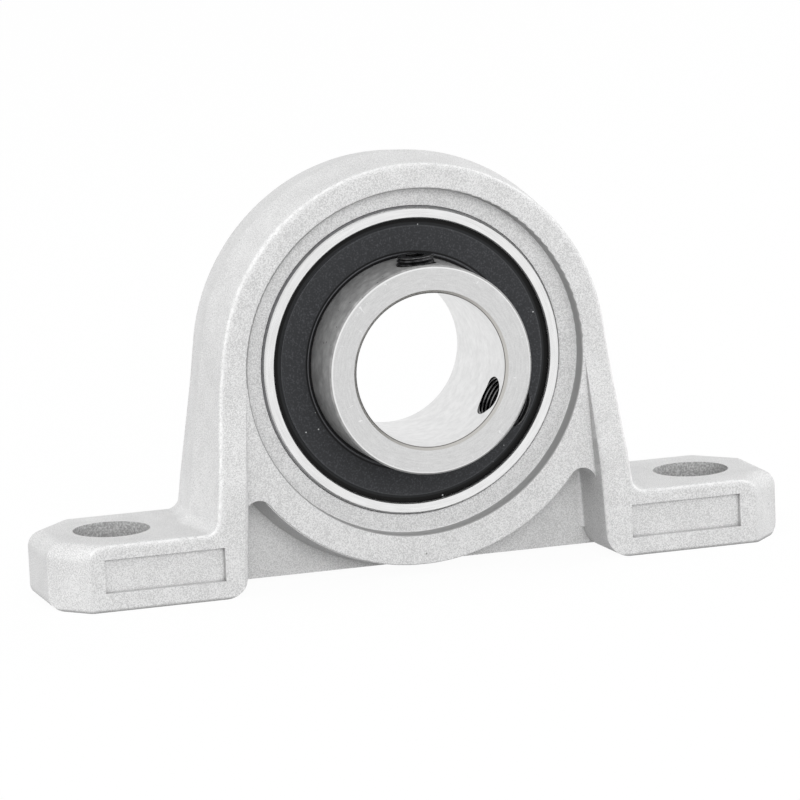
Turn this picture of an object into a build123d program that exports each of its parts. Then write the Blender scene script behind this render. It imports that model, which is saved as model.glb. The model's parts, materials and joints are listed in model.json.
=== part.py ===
"""Pillow block bearing: a cast housing on two feet, and in it a sealed, self-aligning ball insert.

Millimetres, +Z up. X runs along the feet and Y along the shaft. The inner ring's long end points to -Y.
The origin lies on the base plane, straight under the shaft's centre and on the parting plane.
"""

import os
from math import atan, cos, degrees, pi, radians, sin, sqrt, tan

from build123d import *

# Fixing sizes: what the shaft and the bolts meet
shaft_diameter = 20.0
shaft_height = 28.0
bolt_spacing = 80.0
bolt_hole_diameter = 10.0

# Housing: overall sizes
foot_end_length = 10.0  # from a bolt hole's centre to the foot's end
base_width = 20.0
foot_height = 8.7
crown_radius = 27.0  # on the parting plane
crown_width = 15.0  # across the two ring faces

# Housing: tapers and blends of the casting
crown_draft = 6.8  # degrees, both ways from the parting plane
flank_angle = 7.3  # degrees that each flank leans outwards
flare_top = 26.0  # height where the legs start to widen to the base
flare_bottom = 13.0
flare_blend_radius = 20.0
ridge_radius = 0.8
foot_root_radius = 1.6
foot_toe_radius = 1.6  # under each end
foot_end_radius = 2.2  # on top of each end and its chamfers
foot_chamfer_length = 4.5  # along X at the foot's end
foot_chamfer_width = 4.9  # along Y at the foot's end

# Housing: gap between the legs, its web and the pockets beside the ring
gap_base_width = 49.2
gap_draft = 3.0
web_thickness = 3.0
web_clearance = 0.5  # web above the base plane
web_root_radius = 0.8
ring_boss_radius = 26.9
pocket_top_radius = 1.6
leg_corner_radius = 3.0
leg_edge_share = 0.36  # inner front edges' rounding, as a share of the legs' stand-out there
leg_edge_bite = 0.05  # how deep the rounding cuts past its tangent points
leg_edge_sections = 10
leg_edge_overrun = 1.0  # how far the rounding runs below the base and short of the flare's top

# Housing: bore
seat_width = 10.5
counterbore_clearance = 1.75  # around the insert
counterbore_edge_radius = 0.3
counterbore_floor_radius = 0.4
loading_slot_clearance = 0.2

# Housing: name panels, bare
left_panel_length = 16.0
right_panel_length = 15.2
panel_height = 4.4
panel_depth = 0.8
panel_inset = 4.4  # from a bolt hole's centre to the panel's middle
panel_middle_height = 4.6

# Insert: walls from the shaft outwards, then widths
inner_ring_wall = 3.65
race_gap = 3.85  # between the two rings' lands
outer_ring_wall = 3.5  # at its widest, from the land to the spherical outside
seat_clearance = 0.03
outer_ring_width = 12.0
inner_ring_front = 14.0  # from the insert's centre to the long end
inner_ring_rear = 7.0
inner_face_chamfer = 0.4
front_bore_chamfer = 0.45
rear_bore_chamfer = 0.8
outer_face_chamfer = 0.15

# Balls and cage
ball_count = 9
ball_diameter = 6.35
race_clearance = 0.02
groove_conformity = 0.52  # groove radius as a share of the ball's diameter
cage_thickness = 0.5
cage_clearance = 0.8  # to both rings' lands
pocket_clearance = 0.15
rivet_diameter = 1.2
rivet_head_diameter = 2.2
rivet_top_diameter = 1.5  # flat on top of each head
rivet_head_height = 0.45
rivet_clearance = 0.02

# Seals
seal_shelf = 1.23  # from the outer ring's land to the opening in its face
seal_groove_undercut = 0.27  # beyond that opening
seal_groove_depth = 1.1  # along the shaft
seal_groove_inset = 0.55  # from the ring's face
seal_thickness = 1.0
seal_face_inset = 0.35
seal_lip_clearance = 0.05
seal_lip_width = 0.45
seal_lip_drop = 0.25
seal_band_width = 1.17  # of the sunk band along the rim
seal_band_drop = 0.3
seal_rim_clearance = 0.03
core_thickness = 0.35
core_inner_clearance = 1.4  # to the inner ring
core_rim_wall = 0.67  # rubber outside the core

# Set screws
screw_diameter = 5.0
screw_length = 3.6
screw_clearance = 0.04
screw_plane = 10.5  # from the insert's centre towards the long end
screw_stand_out = 0.95  # outer end beyond the inner ring's outside
screw_angles = (92.0, -28.0)  # around the shaft, from +X
screw_socket_width = 2.5  # across the flats
screw_socket_depth = 1.6
screw_point_diameter = 3.0
screw_point_height = 0.58  # of the chamfer around the point
screw_point_depth = 0.5

# Values worked out from the sizes above
shaft_radius = shaft_diameter / 2
inner_ring_radius = shaft_radius + inner_ring_wall
pitch_radius = inner_ring_radius + race_gap / 2
outer_land_radius = inner_ring_radius + race_gap
insert_radius = outer_land_radius + outer_ring_wall  # of the sphere
seat_radius = insert_radius + seat_clearance
counterbore_radius = insert_radius + counterbore_clearance
ball_radius = ball_diameter / 2
groove_radius = groove_conformity * ball_diameter
cage_inner_radius = inner_ring_radius + cage_clearance
cage_outer_radius = outer_land_radius - cage_clearance
seal_bore_radius = outer_land_radius + seal_shelf
seal_groove_radius = seal_bore_radius + seal_groove_undercut
seal_rim_radius = seal_groove_radius - seal_rim_clearance
core_inner_radius = inner_ring_radius + core_inner_clearance
core_outer_radius = seal_rim_radius - core_rim_wall
crown_half_width = crown_width / 2
base_half_width = base_width / 2
base_half_length = bolt_spacing / 2 + foot_end_length
ring_half_width = outer_ring_width / 2
ball_step = 360 / ball_count
on_plane = 0.01  # how near to a plane counts as on it
shaft_axis = Axis((0, 0, shaft_height), (0, 1, 0))
shaft_plane = Plane((0, 0, shaft_height), x_dir=(0, 1, 0), z_dir=(1, 0, 0))


def turned(profile):
    """A solid turned around the shaft, from a profile of (distance along Y, radius)."""
    return revolve(shaft_plane * profile, shaft_axis)


def closed_outline(*points):
    """A flat face with straight sides."""
    return make_face(Polyline(*points, close=True))


def shaft_disc(radius, start, end, end_radius=None):
    """A disc or cone on the shaft's axis between two distances along Y."""
    tip = radius if end_radius is None else end_radius
    return turned(closed_outline((start, 0), (start, radius), (end, tip), (end, 0)))


# ---------------------------------------------------------------- housing


def arch():
    """Crown and flanks, drafted both ways from the parting plane."""
    lean = radians(flank_angle)
    side = crown_radius * cos(lean)
    rise = shaft_height + crown_radius * sin(lean)
    low = -base_half_width
    spread = side + (rise - low) * tan(lean)
    crown = ThreePointArc((-side, rise), (0, shaft_height + crown_radius), (side, rise))
    sides = Polyline((side, rise), (spread, low), (-spread, low), (-side, rise))
    outline = Plane.XZ * make_face(crown + sides)
    return extrude(outline, amount=base_half_width, taper=crown_draft, both=True)


def foot_slab(half, reach):
    """A slab as high as a foot, so far to both sides and along Y, with its top rounded at the sides."""
    front = closed_outline((-half, 0), (half, 0), (half, foot_height), (-half, foot_height))
    top = front.vertices().group_by(Axis.Y)[-1]
    return extrude(Plane.XZ * fillet(top, foot_end_radius), amount=reach, both=True)


def feet():
    """One bar along the base, with rounded toes and with chamfered ends that are rounded on top."""
    bar = foot_slab(base_half_length, base_half_width)
    toes = bar.edges().filter_by(Axis.Y).group_by(Axis.Z)[0]
    bar = fillet(toes, foot_toe_radius)
    turn = atan(foot_chamfer_length / foot_chamfer_width)
    end_half_width = base_half_width - foot_chamfer_width
    chamfer_distance = base_half_length * cos(turn) + end_half_width * sin(turn)
    slab = foot_slab(chamfer_distance, base_half_length)
    return bar & (Rot(0, 0, degrees(turn)) * slab) & (Rot(0, 0, -degrees(turn)) * slab)


def side_outline():
    """The housing's outline seen along X: narrow at the crown, flared to the base."""
    top = shaft_height + crown_radius
    wide, slim = base_half_width, crown_half_width
    outline = closed_outline(
        (-wide, 0), (wide, 0), (wide, flare_bottom), (slim, flare_top), (slim, top),
        (-slim, top), (-slim, flare_top), (-wide, flare_bottom),
    )
    bends = [v for v in outline.vertices() if flare_bottom <= round(v.Y, 3) <= flare_top]
    return fillet(bends, flare_blend_radius)


def casting_blank():
    """The outer form: arch and feet, flared to the base, with its ridges rounded."""
    blank = arch() + feet()
    roots = [e for e in blank.edges() if is_foot_root(e)]
    flared = extrude(Plane.YZ * side_outline(), amount=base_half_length, both=True)
    blank = fillet(roots, foot_root_radius) & flared
    return fillet([e for e in blank.edges() if is_ridge(e)], ridge_radius)


def is_foot_root(edge):
    """True for an edge where a flank meets the top of a foot."""
    place = edge.center()
    between = abs(place.X) < bolt_spacing / 2
    inside = abs(place.Y) < base_half_width - on_plane
    return between and inside and abs(place.Z - foot_height) < on_plane


def is_ridge(edge):
    """True for an edge around the front or the back; the blends across a ring face are none."""
    place = edge.center()
    across = edge.geom_type == GeomType.LINE and abs(place.X) < on_plane
    outer = all(abs(end.Y) > crown_half_width - on_plane for end in edge.vertices())
    upright = edge.geom_type == GeomType.LINE and place.Z > foot_toe_radius
    return not across and outer and (upright or place.Z > foot_height - on_plane)


def gap_half_width(height, depth):
    """Half the gap between the legs at a height, a depth behind the ring's face."""
    mouth = counterbore_radius + counterbore_edge_radius
    lean = atan((gap_base_width / 2 - mouth) / shaft_height)
    at_face = mouth + (shaft_height - height) * tan(lean)
    return at_face - depth * tan(radians(gap_draft)) / cos(lean)


def gap_outline(depth, low, high):
    """The gap between the legs, as a face across the shaft at a depth behind the ring's face."""
    near, far = gap_half_width(low, depth), gap_half_width(high, depth)
    return Plane.XZ * closed_outline((-near, low), (near, low), (far, high), (-far, high))


def leg_gap():
    """What is cut away in front of the ring, between the legs."""
    outline = Pos(0, -crown_half_width, 0) * gap_outline(0, -base_half_width, shaft_height)
    return extrude(outline, amount=base_half_width, taper=-gap_draft)


def pockets():
    """Both pockets under the ring, from the ring's face back to the web."""
    depth = crown_half_width - web_thickness / 2
    ring = Plane.XZ * Pos(0, shaft_height) * Circle(ring_boss_radius)
    outline = gap_outline(depth, -base_half_width, shaft_height) - ring
    tips = [v for v in outline.vertices() if 0 < v.Z < shaft_height]
    outline = Pos(0, -web_thickness / 2, 0) * fillet(tips, pocket_top_radius)
    hollow = extrude(outline, amount=depth, taper=-gap_draft)
    floor = [e for e in hollow.edges().group_by(Axis.Y)[-1] if e.center().Z > 0]
    return fillet(floor, web_root_radius)


def leg_corner_outline(distance):
    """What rounds a leg's inner lower corner, as a face at a distance from the parting plane."""
    depth = crown_half_width - distance
    foot = gap_half_width(0, depth)
    lean = atan((foot - gap_half_width(shaft_height, depth)) / shaft_height)
    radius = leg_corner_radius
    centre = foot + radius * (1 - sin(lean)) / cos(lean)
    turn = (pi / 2 - lean) / 2
    start = (centre - radius * cos(lean), radius * (1 - sin(lean)))
    middle = (centre - radius * sin(turn), radius * (1 - cos(turn)))
    arc = ThreePointArc(start, middle, (centre, 0))
    low, inside = -radius, foot - radius
    sides = Polyline((centre, 0), (centre, low), (inside, low), (inside, start[1]), start)
    return Plane.XZ * make_face(arc + sides)


def leg_corners():
    """The rounding tools for both legs' inner lower corners, on the long-end side."""
    near, far = (
        Pos(0, -distance, 0) * leg_corner_outline(distance)
        for distance in (web_thickness / 2, base_half_width)
    )
    corner = loft([near, far], ruled=True)
    return corner + mirror(corner, about=Plane.YZ)


def leg_stand_out(height):
    """How far the legs stand out in front of the ring's face at a height."""
    level = Line((0, height), (base_width, height))
    return (level & side_outline()).bounding_box().max.X - crown_half_width


def leg_edge_outline(height):
    """What rounds a leg's inner front edge, as a face across the leg at a height."""
    depth = leg_stand_out(max(height, 0))
    radius = leg_edge_share * depth
    lean = radians(gap_draft)
    corner = Vector(gap_half_width(height, -depth), -crown_half_width - depth)
    centre = corner + Vector(radius / tan(pi / 4 + lean / 2), radius)
    towards = (corner - centre).normalized()
    centre = centre + leg_edge_bite * towards
    start = centre - radius * Vector(cos(lean), sin(lean))
    end = centre - Vector(0, radius)
    arc = ThreePointArc(start, centre + radius * towards, end)
    front, side = end.Y - radius, start.X - radius
    sides = Polyline(end, (end.X, front), (side, front), (side, start.Y), start)
    return Pos(0, 0, height) * make_face(arc + sides)


def leg_edges():
    """The rounding tools for both legs' inner front edges, fading out where the flare ends."""
    low, high = -leg_edge_overrun, flare_top - leg_edge_overrun
    rise = (high - low) / leg_edge_sections
    edge = loft([leg_edge_outline(low + rise * index) for index in range(leg_edge_sections + 1)])
    return edge + mirror(edge, about=Plane.YZ)


def both_faces(tool):
    """A tool for the long-end side, with its mirror image for the other side."""
    return tool + mirror(tool, about=Plane.XZ)


def counterbore():
    """The long-end side's counterbore, with a rounded floor corner and a rounded mouth."""
    face, edge, floor = -crown_half_width, counterbore_edge_radius, -seat_width / 2
    section = ring_section(-base_half_width, floor, 0, counterbore_radius)
    floor_corner = [v for v in section.vertices() if v.X > face and v.Y > 0]
    bore = turned(fillet(floor_corner, counterbore_floor_radius))
    inside, outside = (face + edge, counterbore_radius), (face, counterbore_radius + edge)
    corner = (outside[0] + edge * (1 - sqrt(0.5)), inside[1] + edge * (1 - sqrt(0.5)))
    round_edge = ThreePointArc(outside, corner, inside)
    mouth = make_face(round_edge + Polyline(inside, (face, counterbore_radius), outside))
    return bore + turned(mouth)


def seat():
    """The spherical seat, its counterbores and the slots that the insert is turned in through."""
    ball = Pos(0, 0, shaft_height) * Sphere(seat_radius)
    half = seat_width / 2
    bores = both_faces(counterbore())
    slot = Box(2 * seat_radius, base_half_width, outer_ring_width + loading_slot_clearance)
    slot = Pos(0, base_half_width / 2, shaft_height) * slot
    slot = slot & shaft_disc(seat_radius, 0, base_half_width)
    return (ball & shaft_disc(counterbore_radius, -half, half)) + bores + slot


def name_panels():
    """The sunk panels on the front of both feet."""
    centre = bolt_spacing / 2 - panel_inset
    return [
        Pos(side * centre, -base_half_width, panel_middle_height)
        * Box(length, 2 * panel_depth, panel_height)
        for side, length in ((-1, left_panel_length), (1, right_panel_length))
    ]


def bolt_holes():
    hole = Cylinder(bolt_hole_diameter / 2, 4 * foot_height)
    return [Pos(side * bolt_spacing / 2, 0, 0) * hole for side in (-1, 1)]


def housing():
    """The cast housing, in one piece with its feet."""
    body = casting_blank()
    for tool in (leg_gap(), pockets(), leg_corners(), leg_edges()):
        body = body - both_faces(tool)
    web_reach = web_thickness + 2 * web_root_radius
    under = Box(gap_base_width + 2 * leg_corner_radius, web_reach, 2 * web_clearance)
    return body - under - seat() - name_panels() - bolt_holes()


# ---------------------------------------------------------------- insert


def around_shaft(angle, distance=0):
    """A place in the shaft's plane whose Z points outwards, at an angle from +X."""
    out = (cos(radians(angle)), 0, sin(radians(angle)))
    return Plane((0, distance, shaft_height), x_dir=(0, 1, 0), z_dir=out)


def ring_section(start, end, inside, outside):
    """A rectangle of (distance along Y, radius), between two distances and two radii."""
    return closed_outline((start, inside), (end, inside), (end, outside), (start, outside))


def outer_ring():
    """Spherical outside, one ball track, and a groove for a seal at each end."""
    half = ring_half_width
    section = ring_section(-half, half, outer_land_radius, insert_radius)
    section = section & Circle(insert_radius)
    track = pitch_radius + ball_radius + race_clearance - groove_radius
    section = section - Pos(0, track) * Circle(groove_radius)
    lip = half - seal_groove_inset
    for side in (-1, 1):
        near, far = side * (lip - seal_groove_depth), side * lip
        section = section - ring_section(near, far, 0, seal_groove_radius)
        section = section - ring_section(far, side * half, 0, seal_bore_radius)
    corners = [v for v in section.vertices() if abs(v.X) > half - on_plane]
    return turned(chamfer(corners, outer_face_chamfer))


def inner_ring():
    """Long-ended inner ring with its ball track, chamfers and two holes for the set screws."""
    front, rear = -inner_ring_front, inner_ring_rear
    inside, outside, corner = shaft_radius, inner_ring_radius, inner_face_chamfer
    section = closed_outline(
        (front, inside + front_bore_chamfer), (front + front_bore_chamfer, inside),
        (rear - rear_bore_chamfer, inside), (rear, inside + rear_bore_chamfer),
        (rear, outside - corner), (rear - corner, outside),
        (front + corner, outside), (front, outside - corner),
    )
    track = pitch_radius - ball_radius - race_clearance + groove_radius
    ring = turned(section - Pos(0, track) * Circle(groove_radius))
    hole = Pos(0, 0, shaft_radius) * Cylinder(screw_diameter / 2, shaft_radius)
    holes = [around_shaft(angle, -screw_plane) * hole for angle in screw_angles]
    return ring - holes


def ball_places():
    """The balls' centres, evenly spaced with the first one at the top."""
    return [
        around_shaft(90 + ball_step * index) * Pos(0, 0, pitch_radius) for index in range(ball_count)
    ]


def balls():
    return [place * Sphere(ball_radius) for place in ball_places()]


def rivet_places():
    """Places midway between the balls, with Z along the shaft."""
    between = [around_shaft(90 + ball_step * (index + 0.5)) for index in range(ball_count)]
    return [place * Pos(0, 0, pitch_radius) * Rot(0, 90, 0) for place in between]


def cage_half():
    """The stamped half of the cage on the long-end side: flat webs and dished ball pockets."""
    hollow = ball_radius + pocket_clearance
    shell = hollow + cage_thickness
    band = ring_section(-2 * shell, 0, cage_inner_radius, cage_outer_radius)
    webs = ring_section(-cage_thickness, 0, cage_inner_radius, cage_outer_radius)
    domes = [place * Sphere(shell) for place in ball_places()]
    dishes = [place * Sphere(hollow) for place in ball_places()]
    hole = Cylinder(rivet_diameter / 2 + rivet_clearance, 4 * cage_thickness)
    holes = [place * hole for place in rivet_places()]
    return ((turned(webs) + domes) & turned(band)) - dishes - holes


def cage_rivets():
    """One rivet between each two balls, with a tapered head on both halves."""
    shank, head, top = rivet_diameter / 2, rivet_head_diameter / 2, rivet_top_diameter / 2
    end = cage_thickness + rivet_head_height
    profile = closed_outline(
        (0, 0), (shank, 0), (shank, cage_thickness), (head, cage_thickness), (top, end), (0, end),
    )
    upper = revolve(Plane.XZ * profile, Axis.Z)
    rivet = upper + mirror(upper, about=Plane.XY)
    return [place * rivet for place in rivet_places()]


def seal_levels():
    """Distances from the insert's centre to a seal's face, its core's two faces and its foot."""
    face = ring_half_width - seal_face_inset
    core_front = face - seal_thickness + core_thickness
    foot = ring_half_width - seal_groove_inset - seal_groove_depth
    return face, core_front, core_front - core_thickness, foot


def seal_rubber():
    """Moulded rubber of the seal at +Y: a lip on the inner ring and a rim in the outer ring's groove."""
    face, core_front, core_back, foot = seal_levels()
    lip = inner_ring_radius + seal_lip_clearance
    band = seal_rim_radius - seal_band_width
    return turned(closed_outline(
        (face - seal_lip_drop, lip), (face - seal_lip_drop, lip + seal_lip_width),
        (face, lip + seal_lip_width), (face, band), (face - seal_band_drop, band),
        (face - seal_band_drop, seal_rim_radius), (foot, seal_rim_radius),
        (foot, core_outer_radius), (core_front, core_outer_radius),
        (core_front, core_inner_radius), (core_back, core_inner_radius), (core_back, lip),
    ))


def seal_core():
    """Steel washer of the seal at +Y, bent down along its outer edge."""
    _, core_front, core_back, foot = seal_levels()
    inside, outside = core_inner_radius, core_outer_radius
    bend = outside - core_thickness
    return turned(closed_outline(
        (core_front, inside), (core_front, outside), (foot, outside),
        (foot, bend), (core_back, bend), (core_back, inside),
    ))


def set_screw(angle):
    """Headless screw with a hexagon socket and a cup point, standing out as delivered."""
    outer_end = inner_ring_radius + screw_stand_out
    body = Cylinder(screw_diameter / 2 - screw_clearance, screw_length)
    point = screw_diameter / 2 - screw_clearance - screw_point_diameter / 2
    body = chamfer(body.edges().group_by(Axis.Z)[0], screw_point_height, point)
    cup = Cone(screw_point_diameter / 2, 0, screw_point_depth)
    cup = Pos(0, 0, (screw_point_depth - screw_length) / 2) * cup
    socket = extrude(RegularPolygon(screw_socket_width / 2, 6, major_radius=False), screw_socket_depth)
    socket = Pos(0, 0, screw_length / 2 - screw_socket_depth) * socket
    place = around_shaft(angle, -screw_plane) * Pos(0, 0, outer_end - screw_length / 2)
    return place * (body - cup - socket)


# ---------------------------------------------------------------- parts


def all_parts():
    """Every node by name; the rivets are several like solids in one node."""
    front_cage = cage_half()
    rubber, core = seal_rubber(), seal_core()
    parts = {
        "housing": housing(),
        "outer_ring": outer_ring(),
        "inner_ring": inner_ring(),
        "cage_front": front_cage,
        "cage_rear": mirror(front_cage, about=Plane.XZ),
        "cage_rivets": Compound(children=cage_rivets()),
        "front_seal_rubber": mirror(rubber, about=Plane.XZ),
        "front_seal_core": mirror(core, about=Plane.XZ),
        "rear_seal_rubber": rubber,
        "rear_seal_core": core,
    }
    for number, ball in enumerate(balls(), start=1):
        parts[f"ball_{number}"] = ball
    for number, angle in enumerate(screw_angles, start=1):
        parts[f"set_screw_{number}"] = set_screw(angle)
    return parts


def write_parts():
    os.makedirs("parts", exist_ok=True)
    for name, shape in all_parts().items():
        export_step(shape, f"parts/{name}.step")


if __name__ == "__main__":
    write_parts()
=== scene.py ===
import json
from math import cos, pi, radians, sin, sqrt

import bmesh
import bpy
from mathutils import Matrix, Vector


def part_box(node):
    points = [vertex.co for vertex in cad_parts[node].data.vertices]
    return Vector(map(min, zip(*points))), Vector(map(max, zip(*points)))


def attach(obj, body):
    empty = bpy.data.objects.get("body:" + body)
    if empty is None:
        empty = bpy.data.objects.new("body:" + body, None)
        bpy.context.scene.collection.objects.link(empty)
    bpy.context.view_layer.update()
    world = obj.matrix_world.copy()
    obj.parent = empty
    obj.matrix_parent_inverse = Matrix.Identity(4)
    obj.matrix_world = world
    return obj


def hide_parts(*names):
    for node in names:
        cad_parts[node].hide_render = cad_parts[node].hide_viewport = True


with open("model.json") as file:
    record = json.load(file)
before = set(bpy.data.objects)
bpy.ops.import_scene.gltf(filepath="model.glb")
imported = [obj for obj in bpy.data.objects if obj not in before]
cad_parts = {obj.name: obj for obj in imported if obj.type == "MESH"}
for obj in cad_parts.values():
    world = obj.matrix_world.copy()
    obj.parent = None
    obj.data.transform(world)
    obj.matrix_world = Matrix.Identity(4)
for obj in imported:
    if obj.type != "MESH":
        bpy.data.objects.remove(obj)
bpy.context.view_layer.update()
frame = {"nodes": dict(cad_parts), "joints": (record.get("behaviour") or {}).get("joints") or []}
nodes = frame["nodes"]
mm = 0.001
spinJoint = next(joint for joint in frame["joints"] if joint["name"] == "inner_ring_spin")
shaftCentre = Vector(spinJoint["pos_m"])
screwNames = ("set_screw_1", "set_screw_2")
print("frame loaded:", len(nodes), "nodes")


# camera

cameraView = {
    "azimuth": -17.043,  # degrees round the part; 0 looks along +Y
    "elevation": 10.229,
    "roll": 2.499,
    "distance": 715.4 * mm,
    "lens": 245.7,
    "sensor": 36.0,
    "aimRight": 0.1 * mm,  # from the shaft's centre, across the view
    "aimUp": -5.99 * mm,
    "clip": (0.05, 20),  # nearest and furthest that it sees, in metres
}


def addCamera(view):
    a, e, roll = (radians(view[key]) for key in ("azimuth", "elevation", "roll"))
    level = Vector((cos(a), sin(a), 0))
    steep = Vector((-sin(a) * sin(e), cos(a) * sin(e), cos(e)))
    back = Vector((sin(a) * cos(e), -cos(a) * cos(e), sin(e)))
    right = cos(roll) * level - sin(roll) * steep
    up = sin(roll) * level + cos(roll) * steep
    data = bpy.data.cameras.new("camera")
    data.lens, data.sensor_width = view["lens"], view["sensor"]
    data.clip_start, data.clip_end = view["clip"]
    camera = bpy.data.objects.new("camera", data)
    bpy.context.scene.collection.objects.link(camera)
    aim = shaftCentre + view["aimRight"] * right + view["aimUp"] * up
    turn = Matrix((right, up, back)).transposed().to_4x4()
    camera.matrix_world = Matrix.Translation(aim + view["distance"] * back) @ turn
    bpy.context.scene.camera = camera


addCamera(cameraView)
print("camera placed")


# shared helpers

def toLinear(hexColour):
    values = [int(hexColour[i:i + 2], 16) / 255 for i in (1, 3, 5)]
    linear = [v / 12.92 if v <= 0.04045 else ((v + 0.055) / 1.055) ** 2.4 for v in values]
    return (*linear, 1.0)


def addNode(tree, kind, settings=None, links=None):
    # settings go to the node's inputs or to itself; a link takes a node's first output in use
    node = tree.nodes.new("ShaderNode" + kind)
    for key, value in (settings or {}).items():
        if isinstance(value, str) and value.startswith("#"):
            value = toLinear(value)
        if isinstance(key, int) or key in node.inputs:
            node.inputs[key].default_value = value
        elif key == "stops":  # a colour ramp's places and hex colours
            ramp = node.color_ramp.elements
            ramp[0].position, ramp[0].color = value[0][0], toLinear(value[0][1])
            ramp[1].position, ramp[1].color = value[-1][0], toLinear(value[-1][1])
            for place, colour in value[1:-1]:
                ramp.new(place).color = toLinear(colour)
        else:
            setattr(node, key, value)
    for key, source in (links or {}).items():
        if isinstance(source, bpy.types.Node):
            source = next(output for output in source.outputs if output.enabled)
        tree.links.new(source, node.inputs[key])
    return node


def startMaterial(name):
    material = bpy.data.materials.new(name)
    material.use_nodes = True
    material.node_tree.nodes.clear()
    return material, material.node_tree


def outwardsFrom(name):
    # a set screw's middle, and the way from the shaft's line through it
    low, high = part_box(name)
    middle = (low + high) / 2
    way = middle - shaftCentre
    way.y = 0
    return middle, way.normalized()


def turnTo(direction):
    # the turn that brings +Z into a direction
    return direction.to_track_quat("Z", "Y").to_matrix().to_4x4()


# stage: a pale floor, soft studio light and a white world

studio = {
    "floorSize": 8.0,
    "white": "#FFFFFF",
    "floorBounce": "#9C9C9C",  # what the floor throws back on the object
    "floorGlow": 0.96,  # share of the floor's white that no shadow takes away
    "ambient": 0.62,  # the world's strength on the object
    "lampSize": 0.7,
    "lamps": [  # place and watts
        ("front lamp", (-0.1, -1.05, 0.3), 6.8),
        ("top lamp", (-0.75, -0.4, 0.9), 1.0),
        ("left side lamp", (-1.1, 0.25, 0.3), 4.8),
        ("right side lamp", (1.1, 0.25, 0.3), 6.6),
    ],
}


def whiteRays(tree):
    # 1 for what sees the room as plain white: the camera, and mirrored and refracted rays
    path = addNode(tree, "LightPath")
    seen = path.outputs["Is Camera Ray"]
    for ray in ("Is Glossy Ray", "Is Transmission Ray"):
        seen = addNode(tree, "Math", {"operation": "MAXIMUM"}, {0: seen, 1: path.outputs[ray]})
    return seen


def addFloor(settings):
    bpy.ops.object.select_all(action="DESELECT")
    bpy.ops.mesh.primitive_plane_add(size=settings["floorSize"], location=(0, 0, 0))
    floor = bpy.context.object
    floor.name = "floor"
    material, tree = startMaterial("matt white studio sweep, painted")  # plain and without gloss
    bounce = addNode(tree, "BsdfDiffuse", {"Color": settings["floorBounce"]})
    paint = addNode(tree, "BsdfDiffuse", {"Color": settings["white"]})
    glow = addNode(tree, "Emission", {"Color": settings["white"], "Strength": 1.0})
    white = addNode(tree, "MixShader", {0: settings["floorGlow"]}, {1: paint, 2: glow})
    either = addNode(tree, "MixShader", {}, {0: whiteRays(tree), 1: bounce, 2: white})
    addNode(tree, "OutputMaterial", {}, {"Surface": either})
    floor.data.materials.append(material)


def addLamp(name, place, size, power):
    data = bpy.data.lights.new(name, "AREA")
    data.shape, data.size, data.energy = "DISK", size, power
    lamp = bpy.data.objects.new(name, data)
    bpy.context.scene.collection.objects.link(lamp)
    lamp.matrix_world = Matrix.Translation(place) @ turnTo(Vector(place) - shaftCentre)
    lamp.visible_glossy = False  # bare steel mirrors the white room and no lamp's disc


def addWorld(settings):
    world = bpy.data.worlds.new("white studio")
    world.use_nodes = True
    tree = world.node_tree
    tree.nodes.clear()
    soft = addNode(tree, "Background", {
        "Color": settings["white"], "Strength": settings["ambient"]})
    white = addNode(tree, "Background", {"Color": settings["white"], "Strength": 1.0})
    either = addNode(tree, "MixShader", {}, {0: whiteRays(tree), 1: soft, 2: white})
    addNode(tree, "OutputWorld", {}, {"Surface": either})
    bpy.context.scene.world = world


addFloor(studio)
addWorld(studio)
for name, place, power in studio["lamps"]:
    addLamp(name, place, studio["lampSize"], power)
bpy.context.scene.view_settings.view_transform = "Standard"
print("stage and lights placed")


# materials: a finish's range says where a share starts and where it is full, and a band has its
# low end, its high end and half the width of its soft edges

def spots(tree, place, spacing, radius, share):
    # round spots on a share of the cells of a random grid, 1 inside and 0 outside
    cells = addNode(tree, "TexVoronoi", {"Scale": 1 / spacing}, {"Vector": place})
    near = addNode(tree, "MapRange", {  # from a spot's rim to full strength halfway in
        "From Min": radius / spacing, "From Max": radius / 2 / spacing}, {0: cells})
    lot = addNode(tree, "SeparateColor", {}, {0: cells.outputs["Color"]})
    chosen = addNode(tree, "Math", {"operation": "LESS_THAN", 1: share}, {0: lot})
    return addNode(tree, "Math", {"operation": "MULTIPLY"}, {0: near, 1: chosen})


def band(tree, value, low, high, edge):
    # 1 where the value lies between low and high, with soft ends
    rise = addNode(tree, "MapRange", {"From Min": low - edge, "From Max": low + edge}, {0: value})
    fall = addNode(tree, "MapRange", {
        "From Min": high - edge, "From Max": high + edge, "To Min": 1.0, "To Max": 0.0},
        {0: value})
    return addNode(tree, "Math", {"operation": "MULTIPLY"}, {0: rise, 1: fall})


def shaftPlace(tree):
    # the place, and its distance from the shaft's line, way along it and turn around it
    place = addNode(tree, "TexCoord").outputs["Object"]
    fromShaft = addNode(tree, "VectorMath", {
        "operation": "SUBTRACT", 1: tuple(shaftCentre)}, {0: place})
    parts = addNode(tree, "SeparateXYZ", {}, {0: fromShaft}).outputs
    flat = addNode(tree, "CombineXYZ", {}, {"X": parts["X"], "Z": parts["Z"]})
    radius = addNode(tree, "VectorMath", {"operation": "LENGTH"}, {0: flat})
    angle = addNode(tree, "Math", {"operation": "ARCTAN2"}, {0: parts["Z"], 1: parts["X"]})
    return place, radius, parts["Y"], angle


def linesRound(tree, radius, along, angle, finish):
    # noise drawn out around the shaft, as a wheel or a lathe tool leaves it
    slow = addNode(tree, "Math", {"operation": "MULTIPLY", 1: finish["lineTurn"]}, {0: angle})
    turned = addNode(tree, "CombineXYZ", {}, {0: radius, 1: along, 2: slow})
    return addNode(tree, "TexNoise", {
        "Scale": 1 / finish["line"], "Detail": 2.0}, {"Vector": turned})


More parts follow.
